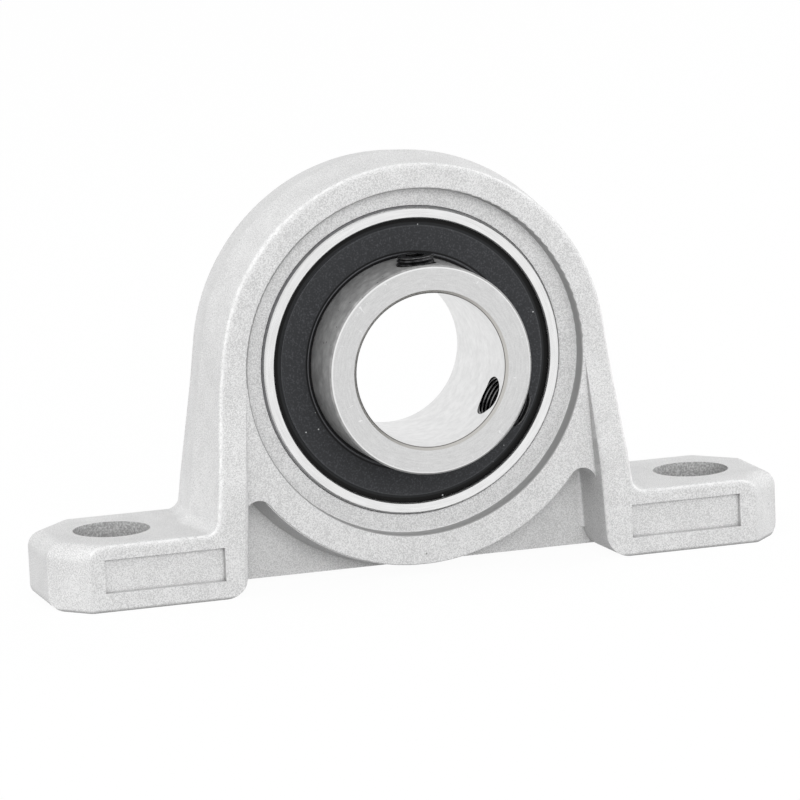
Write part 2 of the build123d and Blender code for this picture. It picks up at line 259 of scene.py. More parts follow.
castingFinish = {
    "colour": "#EBEBEB",
    "shade": "#C8C8C8",
    "pit": "#858585",
    # painted shade for corners and hollows
    "paintedShade": "#7A7A7A",
    "paintedHighlight": "#FAFAFA",  # painted highlight on the corners between the front and what runs back from it
    "contactShadow": "#5E5E5E",  # painted contact shadow, darker towards where it stands
    "pocketShade": "#8A8A8A",  # painted shade on the pocket walls beside the web
    # painted shade on the wall of the step around the insert
    "stepShade": "#ABABAB",
    "holeWall": "#CDCDCD",
    "holeShade": "#9E9E9E",
    "metallic": 0.12,
    "roughness": 0.55,
    "grain": 0.14 * mm,  # what the shot leaves, drawn coarser than the real grit so that it shows
    "grainDepth": 0.03 * mm,
    "mottle": 3.5 * mm,  # slow changes of tone
    "mottleShare": 0.2,
    "toneRange": {"From Min": 0.46, "From Max": 0.74},
    "pits": {"spacing": 3.0 * mm, "radius": 0.16 * mm, "share": 0.14},
    "cornerShadeReach": 0.7 * mm,  # how near the other side of a corner has to be
    "cornerShadeRange": {"From Min": 0.7, "From Max": 0.35, "To Max": 0.6},
    "hollowShadeReach": 6.0 * mm,  # and of a wide hollow
    "hollowShadeRange": {"From Min": 0.72, "From Max": 0.3, "To Max": 0.2},
    "highlightBand": (0.5, 0.82, 0.1),  # how squarely the surface faces the front or the back, where the painted highlight lies
    "highlightPatch": 0.5 * mm,
    "patchRange": {"From Min": 0.38, "From Max": 0.62, "To Min": 0.15, "To Max": 0.75},
    "chamferStart": 45.4 * mm,  # the feet's corners beyond this get no painted highlight
    "contactShadowRange": {"From Min": 0.4 * mm, "From Max": 0.08 * mm, "To Max": 0.6},  # heights
    "pocketTop": 18.0 * mm,  # height
    "legGap": 25.0 * mm,  # half of what lies between the legs
    "pocketBand": (26.7 * mm, 28.6 * mm, 0.1 * mm),  # the ring's outside wall and its flare
    "inwardRange": {"From Min": 0.5, "From Max": 0.25, "To Max": 0.3},
    "webBand": (-1.6 * mm, 1.6 * mm, 0.1 * mm),  # across the parting plane
    "webShadeShare": 0.14,
    "holeLine": 40.0 * mm,  # the bolt holes' centres, from the shaft
    "holeBand": (0.0, 5.06 * mm, 0.02 * mm),
    "holeGrain": 0.14 / 0.6 * mm,  # coarser than the skin's
    "holeRange": {"From Min": 0.4, "From Max": 0.65},
    "stepBand": (22.69 * mm, 23.0 * mm, 0.02 * mm),  # the bore's step around the insert, whose wall gets painted shade
    "stepRun": (-7.45 * mm, -5.3 * mm, 0.02 * mm),
}


def shotBlastedZinc(finish):
    # die-cast zinc alloy, shot-blasted: pale, satin and evenly speckled, with a few pits
    material, tree = startMaterial("die-cast zinc alloy, shot-blasted")
    place, radius, along, _ = shaftPlace(tree)
    parts = addNode(tree, "SeparateXYZ", {}, {0: place}).outputs
    side = addNode(tree, "Math", {"operation": "ABSOLUTE"}, {0: parts["X"]})
    normal = addNode(tree, "SeparateXYZ", {}, {0: addNode(tree, "TexCoord").outputs["Normal"]})
    facing = addNode(tree, "Math", {"operation": "ABSOLUTE"}, {0: normal.outputs["Y"]})
    grain = addNode(tree, "TexNoise", {
        "Scale": 1 / finish["grain"], "Detail": 1.0, "Roughness": 0.5}, {"Vector": place})
    mottle = addNode(tree, "TexNoise", {
        "Scale": 1 / finish["mottle"], "Detail": 3.0}, {"Vector": place})
    both = addNode(tree, "Math", {
        "operation": "MULTIPLY_ADD", 1: finish["mottleShare"]}, {0: mottle, 2: grain})
    tone = addNode(tree, "MapRange", finish["toneRange"], {0: both})
    colour = addNode(tree, "Mix", {
        "data_type": "RGBA", 6: finish["shade"], 7: finish["colour"]}, {0: tone})
    pits = spots(tree, place, **finish["pits"])

    # painted shade: corners and hollows are darkened by how little open room they see
    corner = addNode(tree, "AmbientOcclusion", {"samples": 8, "Distance": finish["cornerShadeReach"]})
    paintedShade = addNode(tree, "MapRange", finish["cornerShadeRange"], {0: corner.outputs["AO"]})
    sky = addNode(tree, "AmbientOcclusion", {
        "samples": 6, "only_local": True, "Distance": finish["hollowShadeReach"]})
    hollow = addNode(tree, "MapRange", finish["hollowShadeRange"], {0: sky.outputs["AO"]})

    # painted highlight: ridges that half face the front or back are lightened in patches, but not
    # the feet's corners
    highlight = band(tree, facing, *finish["highlightBand"])
    patch = addNode(tree, "TexNoise", {
        "Scale": 1 / finish["highlightPatch"], "Detail": 3.0}, {"Vector": place})
    patch = addNode(tree, "MapRange", finish["patchRange"], {0: patch})
    within = addNode(tree, "Math", {"operation": "LESS_THAN", 1: finish["chamferStart"]}, {0: side})
    for share in (patch, within):
        highlight = addNode(tree, "Math", {"operation": "MULTIPLY"}, {0: highlight, 1: share})
    # painted contact shadow: darker towards the floor
    contactShadow = addNode(tree, "MapRange", finish["contactShadowRange"], {0: parts["Z"]})

    # painted shade: between the legs the walls and the web are darkened
    low = addNode(tree, "Math", {"operation": "LESS_THAN", 1: finish["pocketTop"]}, {0: parts["Z"]})
    between = addNode(tree, "Math", {"operation": "LESS_THAN", 1: finish["legGap"]}, {0: side})
    inward = addNode(tree, "MapRange", finish["inwardRange"], {0: facing})
    walls = band(tree, radius, *finish["pocketBand"])
    for share in (low, between, inward):
        walls = addNode(tree, "Math", {"operation": "MULTIPLY"}, {0: walls, 1: share})
    web = band(tree, along, *finish["webBand"])
    for share in (low, between):
        web = addNode(tree, "Math", {"operation": "MULTIPLY"}, {0: web, 1: share})
    web = addNode(tree, "Math", {"operation": "MULTIPLY", 1: finish["webShadeShare"]}, {0: web})
    pocket = addNode(tree, "Math", {"operation": "MAXIMUM"}, {0: walls, 1: web})

    # painted shade on the wall of the step around the insert; the drilled bolt holes are darker and
    # coarser
    stepShadeMask = addNode(tree, "Math", {"operation": "MULTIPLY"}, {
        0: band(tree, radius, *finish["stepBand"]), 1: band(tree, along, *finish["stepRun"])})
    across = addNode(tree, "Math", {"operation": "SUBTRACT", 1: finish["holeLine"]}, {0: side})
    flat = addNode(tree, "CombineXYZ", {}, {"X": across, "Y": parts["Y"]})
    reach = addNode(tree, "VectorMath", {"operation": "LENGTH"}, {0: flat})
    drilled = band(tree, reach, *finish["holeBand"])
    coarse = addNode(tree, "TexNoise", {
        "Scale": 1 / finish["holeGrain"], "Detail": 2.0}, {"Vector": place})
    coarse = addNode(tree, "MapRange", finish["holeRange"], {0: coarse})
    wall = addNode(tree, "Mix", {
        "data_type": "RGBA", 6: finish["holeShade"], 7: finish["holeWall"]}, {0: coarse})

    # pits, then the painted shade, the painted highlight and the painted contact shadow over the
    # skin
    layers = [(pits, "pit"), (paintedShade, "paintedShade"), (hollow, "paintedShade"), (highlight, "paintedHighlight"),
              (contactShadow, "contactShadow"), (pocket, "pocketShade"), (stepShadeMask, "stepShade")]
    for share, layer in layers:
        colour = addNode(tree, "Mix", {
            "data_type": "RGBA", 7: finish[layer]}, {0: share, 6: colour})
    colour = addNode(tree, "Mix", {"data_type": "RGBA"}, {0: drilled, 6: colour, 7: wall})
    height = addNode(tree, "Math", {"operation": "SUBTRACT"}, {0: grain, 1: pits})
    bump = addNode(tree, "Bump", {
        "Distance": finish["grainDepth"], "Strength": 1.0}, {"Height": height})
    surface = addNode(tree, "BsdfPrincipled", {
        "Metallic": finish["metallic"], "Roughness": finish["roughness"]},
        {"Base Color": colour, "Normal": bump})
    addNode(tree, "OutputMaterial", {}, {"Surface": surface})
    return material


outerRingFinish = {
    "colour": "#F4F4F4",
    "shade": "#E2E2E2",
    "stain": "#8A8886",
    "flankShade": "#88888A",  # painted shade on the part of the sphere that stands out of the housing, in the gap at the seat
    "flankShadeRange": {"From Min": 20.12 * mm, "From Max": 20.16 * mm},  # from the shaft's line
    "line": 0.22 * mm,  # grinding lines, drawn coarser than the real 0.02 mm so that they show
    "lineTurn": 1.5 * mm,  # of pattern to a radian, so that they run long
    "lineDepth": 0.003 * mm,
    "cloud": 3 * mm,  # slow changes of tone and gloss
    "cloudShare": 0.6,
    "toneRange": {"From Min": 0.5, "From Max": 1.1},
    "stains": {"spacing": 2.6 * mm, "radius": 0.18 * mm, "share": 0.1},
    "roughRange": {"From Min": 0.3, "From Max": 0.7, "To Min": 0.21, "To Max": 0.34},
}


def groundSteel(finish):
    # bearing steel, hardened and ground: bright, with fine lines around the shaft and a few stains,
    # and painted shade on the flank that stands out of the housing
    material, tree = startMaterial("bearing steel, ground")
    place, radius, along, angle = shaftPlace(tree)
    lines = linesRound(tree, radius, along, angle, finish)
    cloud = addNode(tree, "TexNoise", {
        "Scale": 1 / finish["cloud"], "Detail": 4.0, "Roughness": 0.6}, {"Vector": place})
    both = addNode(tree, "Math", {
        "operation": "MULTIPLY_ADD", 1: finish["cloudShare"]}, {0: cloud, 2: lines})
    tone = addNode(tree, "MapRange", finish["toneRange"], {0: both})
    colour = addNode(tree, "Mix", {
        "data_type": "RGBA", 6: finish["shade"], 7: finish["colour"]}, {0: tone})
    stains = spots(tree, place, **finish["stains"])
    flankShade = addNode(tree, "MapRange", finish["flankShadeRange"], {0: radius})
    for share, layer in ((stains, "stain"), (flankShade, "flankShade")):
        colour = addNode(tree, "Mix", {
            "data_type": "RGBA", 7: finish[layer]}, {0: share, 6: colour})
    rough = addNode(tree, "MapRange", finish["roughRange"], {0: cloud})
    bump = addNode(tree, "Bump", {
        "Distance": finish["lineDepth"], "Strength": 1.0}, {"Height": lines})
    surface = addNode(tree, "BsdfPrincipled", {"Metallic": 1.0}, {
        "Base Color": colour, "Roughness": rough, "Normal": bump})
    addNode(tree, "OutputMaterial", {}, {"Surface": surface})
    return material


innerRingFinish = {
    "face": "#E0E0E0",
    "faceShade": "#CDCDCD",
    "bore": "#ECECEC",
    "boreShade": "#DDDDDD",
    "outside": "#A6A6A6",
    "outsideShade": "#828282",
    "outsidePit": "#343434",
    "scratch": "#F4F4F4",
    "chamfer": "#F0F0F0",
    "boreChamfer": "#C8C6C2",
    "edge": "#6E6B68",
    "hole": "#1C1C1D",  # painted shade: the threads of the two holes darkened to near black
    # painted glints on the holes' thread crests
    "crestGlint": "#8E8E8E",
    "line": 0.2 * mm,  # turning lines, drawn coarser than the real 0.03 mm so that they show
    "lineTurn": 1.5 * mm,  # of pattern to a radian, so that they run long
    "lineDepth": 0.003 * mm,
    "lineRange": {"From Min": 0.6, "From Max": 1.2},
    "grain": 0.12 * mm,
    "grainShare": 0.8,
    "blotch": 1.3 * mm,
    "blotchRange": {"From Min": 0.35, "From Max": 0.68},
    "pits": {"spacing": 1.1 * mm, "radius": 0.17 * mm, "share": 0.3},
    "scratchTurn": 0.12,  # radians around the shaft
    "scratchReach": 4 * mm,
    "scratchRange": {"From Min": 0.68, "From Max": 0.74, "To Max": 0.8},
    "boreRange": {"From Min": 10.06 * mm, "From Max": 10.03 * mm},  # from the shaft's line
    "edgeBand": (10.03 * mm, 10.12 * mm, 0.02 * mm),
    "boreChamferBand": (10.12 * mm, 10.44 * mm, 0.02 * mm),
    "chamferBand": (13.27 * mm, 14.65 * mm, 0.02 * mm),
    "outsideRange": {"From Min": 13.35 * mm, "From Max": 13.45 * mm},
    "faceRange": {"From Min": -13.86 * mm, "From Max": -13.78 * mm},  # from the insert's centre
    "wallBand": (10.03 * mm, 13.62 * mm, 0.02 * mm),
    "holeBand": (0.0, 2.87 * mm, 0.01 * mm),  # from a tapped hole's line
    "crestGlintRange": {"From Min": 2.57 * mm, "From Max": 2.62 * mm},
    "roughRange": {"To Min": 0.3, "To Max": 0.5},  # from bright to dull
    "metalRange": {"To Min": 1.0, "To Max": 0.12},
}


def honedSteel(finish):
    # bearing steel, turned and honed: bright face and bore, duller and blotched outside, with
    # painted shade and glints in its tapped holes
    material, tree = startMaterial("bearing steel, turned and honed")
    place, radius, along, angle = shaftPlace(tree)
    lines = linesRound(tree, radius, along, angle, finish)
    cloud = addNode(tree, "TexNoise", {
        "Scale": 1 / finish["blotch"], "Detail": 5.0, "Roughness": 0.65}, {"Vector": place})
    grain = addNode(tree, "TexNoise", {
        "Scale": 1 / finish["grain"], "Detail": 1.0}, {"Vector": place})
    lineTone = addNode(tree, "Math", {
        "operation": "MULTIPLY_ADD", 1: finish["grainShare"]}, {0: grain, 2: lines})
    lineTone = addNode(tree, "MapRange", finish["lineRange"], {0: lineTone})
    cloudTone = addNode(tree, "MapRange", finish["blotchRange"], {0: cloud})

    # a few scratches run outwards over the face
    turns = addNode(tree, "Math", {
        "operation": "MULTIPLY", 1: 1 / finish["scratchTurn"]}, {0: angle})
    reach = addNode(tree, "Math", {
        "operation": "MULTIPLY", 1: 1 / finish["scratchReach"]}, {0: radius})
    rays = addNode(tree, "CombineXYZ", {}, {"X": turns, "Y": reach})
    rays = addNode(tree, "TexNoise", {
        "Scale": 3.0, "Detail": 2.0, "Distortion": 0.4}, {"Vector": rays})
    rays = addNode(tree, "MapRange", finish["scratchRange"], {0: rays})

    face = addNode(tree, "Mix", {
        "data_type": "RGBA", 6: finish["faceShade"], 7: finish["face"]}, {0: lineTone})
    bore = addNode(tree, "Mix", {
        "data_type": "RGBA", 6: finish["boreShade"], 7: finish["bore"]}, {0: cloudTone})
    inBore = addNode(tree, "MapRange", finish["boreRange"], {0: radius})
    pits = spots(tree, place, **finish["pits"])
    outside = addNode(tree, "Mix", {
        "data_type": "RGBA", 6: finish["outsideShade"], 7: finish["outside"]}, {0: cloudTone})
    outside = addNode(tree, "Mix", {
        "data_type": "RGBA", 7: finish["outsidePit"]}, {0: pits, 6: outside})
    dull = addNode(tree, "Math", {"operation": "MULTIPLY"}, {
        0: addNode(tree, "MapRange", finish["faceRange"], {0: along}),
        1: addNode(tree, "MapRange", finish["outsideRange"], {0: radius})})

    # painted shade in the two tapped holes, with painted glints on the thread crests, by the
    # distance from the nearer one's line
    gaps = []
    for name in screwNames:
        middle, way = outwardsFrom(name)
        fromHole = addNode(tree, "VectorMath", {
            "operation": "SUBTRACT", 1: tuple(middle)}, {0: place})
        across = addNode(tree, "VectorMath", {
            "operation": "CROSS_PRODUCT", 1: tuple(way)}, {0: fromHole})
        gaps.append(addNode(tree, "VectorMath", {"operation": "LENGTH"}, {0: across}))
    gap = addNode(tree, "Math", {"operation": "MINIMUM"}, {0: gaps[0], 1: gaps[1]})
    inHole = addNode(tree, "Math", {"operation": "MULTIPLY"}, {
        0: band(tree, gap, *finish["holeBand"]), 1: band(tree, radius, *finish["wallBand"])})
    crest = addNode(tree, "MapRange", finish["crestGlintRange"], {0: gap})
    tapShadeAndGlint = addNode(tree, "Mix", {
        "data_type": "RGBA", 6: finish["crestGlint"], 7: finish["hole"]}, {0: crest})

    colour = addNode(tree, "Mix", {
        "data_type": "RGBA", 7: finish["scratch"]}, {0: rays, 6: face})
    colour = addNode(tree, "Mix", {"data_type": "RGBA"}, {0: inBore, 6: colour, 7: bore})
    for layer in ("boreChamfer", "edge", "chamfer"):
        share = band(tree, radius, *finish[layer + "Band"])
        colour = addNode(tree, "Mix", {
            "data_type": "RGBA", 7: finish[layer]}, {0: share, 6: colour})
    for share, over in ((dull, outside), (inHole, tapShadeAndGlint)):
        colour = addNode(tree, "Mix", {"data_type": "RGBA"}, {0: share, 6: colour, 7: over})
    bump = addNode(tree, "Bump", {
        "Distance": finish["lineDepth"], "Strength": 1.0}, {"Height": lines})
    surface = addNode(tree, "BsdfPrincipled", {}, {
        "Base Color": colour, "Normal": bump,
        "Metallic": addNode(tree, "MapRange", finish["metalRange"], {0: dull}),
        "Roughness": addNode(tree, "MapRange", finish["roughRange"], {0: dull})})
    addNode(tree, "OutputMaterial", {}, {"Surface": surface})
    return material


sealFinish = {
    "rings": [  # distances from the shaft's line, and colours from the lip outwards: painted shade (near black) along the lip and the rim, painted highlights on the lip's step and on the step near the rim, and the charcoal flat between
        (13.7 * mm, "#0C0C0D"), (13.98 * mm, "#0C0C0D"), (14.04 * mm, "#626366"),
        (14.18 * mm, "#626366"), (14.24 * mm, "#0E0E0F"), (14.42 * mm, "#0E0E0F"),
        (14.5 * mm, "#323335"), (17.62 * mm, "#323335"), (17.7 * mm, "#424345"),
        (17.8 * mm, "#424345"), (17.84 * mm, "#292A2C"), (18.12 * mm, "#232425"),
        (18.2 * mm, "#070707"), (18.8 * mm, "#070707")],
    "speck": "#55565A",
    "speckSize": 0.22 * mm,  # bloom on the rubber, drawn coarser than it is so that it shows
    "speckBand": (14.5 * mm, 17.8 * mm, 0.05 * mm),  # the flat between the lip and the rim
    "speckRange": {"From Min": 0.5, "From Max": 0.8, "To Max": 0.7},
    "dust": "#D5D7D8",
    "dustSpots": {"spacing": 1.5 * mm, "radius": 0.12 * mm, "share": 0.32},
    "roughness": 0.66,
    "specular": 0.3,
    "grain": 0.25 * mm,
    "grainDepth": 0.008 * mm,
}


def mouldedNitrile(finish):
    # nitrile rubber, moulded: charcoal and dull, with painted shade (black) along its edges,
    # painted highlight lines on its steps, and bloom and dust
    material, tree = startMaterial("nitrile rubber, moulded")
    place, radius, _, _ = shaftPlace(tree)
    start, end = finish["rings"][0][0], finish["rings"][-1][0]
    stops = [((at - start) / (end - start), colour) for at, colour in finish["rings"]]
    share = addNode(tree, "MapRange", {"From Min": start, "From Max": end}, {0: radius})
    colour = addNode(tree, "ValToRGB", {"stops": stops}, {"Fac": share})
    fine = addNode(tree, "TexNoise", {
        "Scale": 1 / finish["speckSize"], "Detail": 1.0}, {"Vector": place})
    bloom = addNode(tree, "Math", {"operation": "MULTIPLY"}, {
        0: addNode(tree, "MapRange", finish["speckRange"], {0: fine}),
        1: band(tree, radius, *finish["speckBand"])})
    dust = spots(tree, place, **finish["dustSpots"])
    for share, layer in ((bloom, "speck"), (dust, "dust")):
        colour = addNode(tree, "Mix", {
            "data_type": "RGBA", 7: finish[layer]}, {0: share, 6: colour})
    grain = addNode(tree, "TexNoise", {
        "Scale": 1 / finish["grain"], "Detail": 2.0}, {"Vector": place})
    bump = addNode(tree, "Bump", {
        "Distance": finish["grainDepth"], "Strength": 1.0}, {"Height": grain})
    surface = addNode(tree, "BsdfPrincipled", {
        "Roughness": finish["roughness"], "Specular IOR Level": finish["specular"]},
        {"Base Color": colour, "Normal": bump})
    addNode(tree, "OutputMaterial", {}, {"Surface": surface})
    return material


screwFinish = {
    "colour": "#5A5A5C",
    "shade": "#232324",
    # worn bare crests, with a painted highlight
    "wornAndGlint": "#D0D0D0",
    "roughness": 0.32,
    "cloud": 0.6 * mm,
    "toneRange": {"From Min": 0.35, "From Max": 0.75},
    "edge": 0.12 * mm,  # how thin a crest has to be to wear bright and carry a painted highlight
    "wornAndGlintRange": {"From Min": 0.75, "From Max": 0.4, "To Max": 0.85},
}


def blackOxide(finish):
    # alloy steel, black oxide in oil: nearly black, with bare metal worn through on the thread
    # crests, lightened further as painted glints
    material, tree = startMaterial("alloy steel, black oxide")
    place = addNode(tree, "TexCoord").outputs["Object"]
    cloud = addNode(tree, "TexNoise", {
        "Scale": 1 / finish["cloud"], "Detail": 3.0}, {"Vector": place})
    tone = addNode(tree, "MapRange", finish["toneRange"], {0: cloud})
    skin = addNode(tree, "Mix", {
        "data_type": "RGBA", 6: finish["shade"], 7: finish["colour"]}, {0: tone})
    thin = addNode(tree, "AmbientOcclusion", {
        "samples": 8, "only_local": True, "inside": True, "Distance": finish["edge"]})
    wornAndGlint = addNode(tree, "MapRange", finish["wornAndGlintRange"], {0: thin.outputs["AO"]})
    colour = addNode(tree, "Mix", {"data_type": "RGBA", 7: finish["wornAndGlint"]}, {0: wornAndGlint, 6: skin})
    surface = addNode(tree, "BsdfPrincipled", {
        "Metallic": 1.0, "Roughness": finish["roughness"]}, {"Base Color": colour})
    addNode(tree, "OutputMaterial", {}, {"Surface": surface})
    return material


insideFinishes = {  # by what a node's name holds
    "ball_": {  # mirror-bright
        "name": "chrome steel, lapped", "colour": "#E9E9EA", "shade": "#E0E0E1",
        "roughness": 0.06, "grain": 2 * mm, "depth": 0.0005 * mm},
    "cage_rivets": {  # satin, with the faint grain of the wire
        "name": "low-carbon steel, cold-headed", "colour": "#A9A9A9", "shade": "#949494",
        "roughness": 0.42, "grain": 0.4 * mm, "depth": 0.004 * mm},
    "cage_": {  # rolled grain
        "name": "low-carbon steel, stamped", "colour": "#B9B9B8", "shade": "#A3A3A2",
        "roughness": 0.36, "grain": 0.5 * mm, "depth": 0.006 * mm},
    "_core": {  # grey, with a coarser grain
        "name": "cold-rolled steel, pressed", "colour": "#9C9C9B", "shade": "#868685",
        "roughness": 0.45, "grain": 0.8 * mm, "depth": 0.004 * mm},
}


def cleanSteel(finish):
    # a steel without stains: its grain and tone say how it was made
    material, tree = startMaterial(finish["name"])
    place = addNode(tree, "TexCoord").outputs["Object"]
    cloud = addNode(tree, "TexNoise", {
        "Scale": 1 / finish["grain"], "Detail": 3.0}, {"Vector": place})
    tone = addNode(tree, "MapRange", {"From Min": 0.35, "From Max": 0.7}, {0: cloud})
    colour = addNode(tree, "Mix", {
        "data_type": "RGBA", 6: finish["shade"], 7: finish["colour"]}, {0: tone})
    bump = addNode(tree, "Bump", {
        "Distance": finish["depth"], "Strength": 1.0}, {"Height": cloud})
    surface = addNode(tree, "BsdfPrincipled", {
        "Metallic": 1.0, "Roughness": finish["roughness"]}, {"Base Color": colour, "Normal": bump})
    addNode(tree, "OutputMaterial", {}, {"Surface": surface})
    return material


zinc = shotBlastedZinc(castingFinish)
screwSteel = blackOxide(screwFinish)
givenOut = {
    "housing": zinc,
    "outer_ring": groundSteel(outerRingFinish),
    "inner_ring": honedSteel(innerRingFinish),
    "_rubber": mouldedNitrile(sealFinish),
    "set_screw_": screwSteel,
}
for part, finish in insideFinishes.items():
    givenOut[part] = cleanSteel(finish)
for name, node in nodes.items():  # the first name that fits counts
    material = next(material for part, material in givenOut.items() if part in name)
    for slot in node.material_slots:
        slot.material = material
print("materials made and given out")


# helpers for meshes

def activate(piece):
    bpy.ops.object.select_all(action="DESELECT")
    piece.select_set(True)
    bpy.context.view_layer.objects.active = piece


def freshEdit(piece, mode="FACE"):
    # opens a piece in edit mode with nothing selected
    if bpy.context.mode != "OBJECT":
        bpy.ops.object.mode_set(mode="OBJECT")
    activate(piece)
    bpy.ops.object.mode_set(mode="EDIT")
    bpy.ops.mesh.select_mode(type=mode)
    bpy.ops.mesh.select_all(action="DESELECT")
    return bmesh.from_edit_mesh(piece.data)


def cleanMesh(piece, merge=None, outwards=True):
    # merges corners that lie closer than that, and turns the faces outwards
    freshEdit(piece)
    bpy.ops.mesh.select_all(action="SELECT")
    if merge:
        bpy.ops.mesh.remove_doubles(threshold=merge)
    if outwards:
        bpy.ops.mesh.normals_make_consistent(inside=False)
    bpy.ops.object.mode_set(mode="OBJECT")


def cutLevel(piece, low, high, threshold):
    # cuts a piece off below and above, and closes it there
    freshEdit(piece)
    for at, way in ((low, -1), (high, 1)):
        bpy.ops.mesh.select_all(action="SELECT")
        bpy.ops.mesh.bisect(plane_co=(0, 0, at), plane_no=(0, 0, way), use_fill=True,
                            clear_outer=True, threshold=threshold)
    bpy.ops.object.mode_set(mode="OBJECT")


def applyModifier(piece, kind, settings):
    activate(piece)
    modifier = piece.modifiers.new(kind.lower(), kind)
    for key, value in settings.items():
        setattr(modifier, key, value)
    bpy.ops.object.modifier_apply(modifier=modifier.name)


def cutWith(piece, tool, operation):
    applyModifier(piece, "BOOLEAN", {"operation": operation, "object": tool, "solver": "EXACT"})
    bpy.data.objects.remove(tool)


def copyOf(piece, name):
    # a copy with its own mesh
    copy = bpy.data.objects.new(name, piece.data.copy())
    bpy.context.scene.collection.objects.link(copy)
    return copy


def placeAlong(piece, foot, direction):
    # the mesh's own +Z then runs along the direction from the foot; the object stays at the origin
    piece.data.transform(Matrix.Translation(foot) @ turnTo(direction))
    piece.data.update()


# pocket flares: between the legs the casting's ring widens from its faces to the web

flareShape = {
    "innerRadius": 26.2 * mm,  # buried in the ring
    "faceRadius": 26.75 * mm,
    "webRadius": 27.65 * mm,
    "face": 7.2 * mm,  # from the parting plane
    "web": 1.3 * mm,
    "top": 17.0 * mm,  # where it has run into the legs
    "bottom": 0.5 * mm,
    "steps": 96,
    "merge": 0.001 * mm,
    "cutMerge": 0.0005 * mm,
    "smoothAngle": 30,
}


def makeFlare(shape):
    # its cross-section is a plane with one corner drawn in, spun over half a turn under the shaft
    wide, deep = shape["webRadius"] - shape["innerRadius"], shape["face"] - shape["web"]
    middle = Vector((shape["innerRadius"] + wide / 2, -shape["web"] - deep / 2, shaftCentre.z))
    bpy.ops.object.select_all(action="DESELECT")
    bpy.ops.mesh.primitive_plane_add(size=deep, location=middle)
    flare = bpy.context.object
    bpy.ops.object.transform_apply(location=True, rotation=True, scale=True)
    freshEdit(flare, "VERT")
    bpy.ops.mesh.select_all(action="SELECT")
    bpy.ops.transform.resize(value=(wide / deep, 1, 1), center_override=middle)
    mesh = freshEdit(flare, "VERT")
    for vertex in mesh.verts:
        vertex.select = vertex.co.x > middle.x and vertex.co.y < middle.y
    bpy.ops.transform.translate(value=(shape["faceRadius"] - shape["webRadius"], 0, 0))
    bpy.ops.mesh.select_all(action="SELECT")
    bpy.ops.mesh.spin(steps=shape["steps"], angle=pi, center=shaftCentre, axis=(0, -1, 0))
    cutLevel(flare, shape["bottom"], shape["top"], shape["cutMerge"])
    cleanMesh(flare, shape["merge"])
    return flare


frontFlare = makeFlare(flareShape)
frontFlare.name = "front_pocket_flare"
rearFlare = copyOf(frontFlare, "rear_pocket_flare")
rearFlare.data.transform(Matrix.Scale(-1, 4, (0, 1, 0)))
cleanMesh(rearFlare, flareShape["merge"])
for flare in (frontFlare, rearFlare):
    activate(flare)
    bpy.ops.object.shade_smooth_by_angle(angle=radians(flareShape["smoothAngle"]))
    flare.data.materials.append(zinc)
    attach(flare, "housing")
print("pocket flares added:", len(frontFlare.data.polygons), "faces each")


# set screws: fine thread, hexagon socket and knurled cup point, modelled with the socket up

screwShape = {
    "majorRadius": 2.46 * mm,
    "rootRadius": 2.19 * mm,
    "pitch": 0.5 * mm,
    "crest": 0.05 * mm,
    "length": 3.6 * mm,
    "endChamfer": 0.3 * mm,
    "socketWidth": 2.5 * mm,  # across the flats
    "socketDepth": 1.6 * mm,
    "pointHeight": 0.58 * mm,
    "pointRadius": 1.75 * mm,
    "cupRadius": 1.45 * mm,
    "cupDepth": 0.5 * mm,
    "knurl": 0.9,  # every second corner of the point, drawn in to this share
    "sides": 48,
    "spareTurns": 3,  # of thread, half below and half above its level cuts
    "spareLength": 0.1 * mm,  # of thread at each end, which the blank's shape cuts off
    "blankShare": 1.01,  # of the thread's width
    "levelNormal": 0.9,  # a face whose normal is this near to the screw's line is an end
    "merge": 0.002 * mm,
    "threadMerge": 0.001 * mm,
    "cutMerge": 0.0005 * mm,
    "smoothAngle": 30,
}


def threadedRod(rootRadius, majorRadius, low, high, shape):
    # one tooth's outline is swept up a helix, then cut level at both ends
    pitch, spare = shape["pitch"], shape["spareTurns"]
    bpy.ops.object.select_all(action="DESELECT")
    bpy.ops.mesh.primitive_circle_add(vertices=4, radius=pitch / 2, rotation=(pi / 2, 0, 0))
    rod = bpy.context.object
    bpy.ops.object.transform_apply(location=True, rotation=True, scale=True)
    mesh = freshEdit(rod, "VERT")
    for vertex in mesh.verts:  # the inner corner goes, the outer one becomes the crest
        vertex.select = vertex.co.x < -pitch / 4
    bpy.ops.mesh.delete(type="VERT")
    mesh = bmesh.from_edit_mesh(rod.data)
    for vertex in mesh.verts:
        vertex.select = vertex.co.x > pitch / 4
    bpy.ops.transform.translate(value=(majorRadius - rootRadius - pitch / 2, 0, 0))
    bpy.ops.mesh.bevel(offset=shape["crest"], segments=1, affect="VERTICES")
    bpy.ops.mesh.select_all(action="SELECT")
    bpy.ops.transform.translate(value=(rootRadius, 0, low - spare / 2 * pitch))
    bpy.ops.object.mode_set(mode="OBJECT")
    applyModifier(rod, "SCREW", {
        "axis": "Z", "angle": 2 * pi, "screw_offset": pitch,
        "iterations": int((high - low) / pitch) + spare, "steps": shape["sides"],
        "render_steps": shape["sides"], "use_merge_vertices": False})
    cleanMesh(rod, shape["threadMerge"], outwards=False)
    cutLevel(rod, low, high, shape["cutMerge"])
    cleanMesh(rod)
    return rod


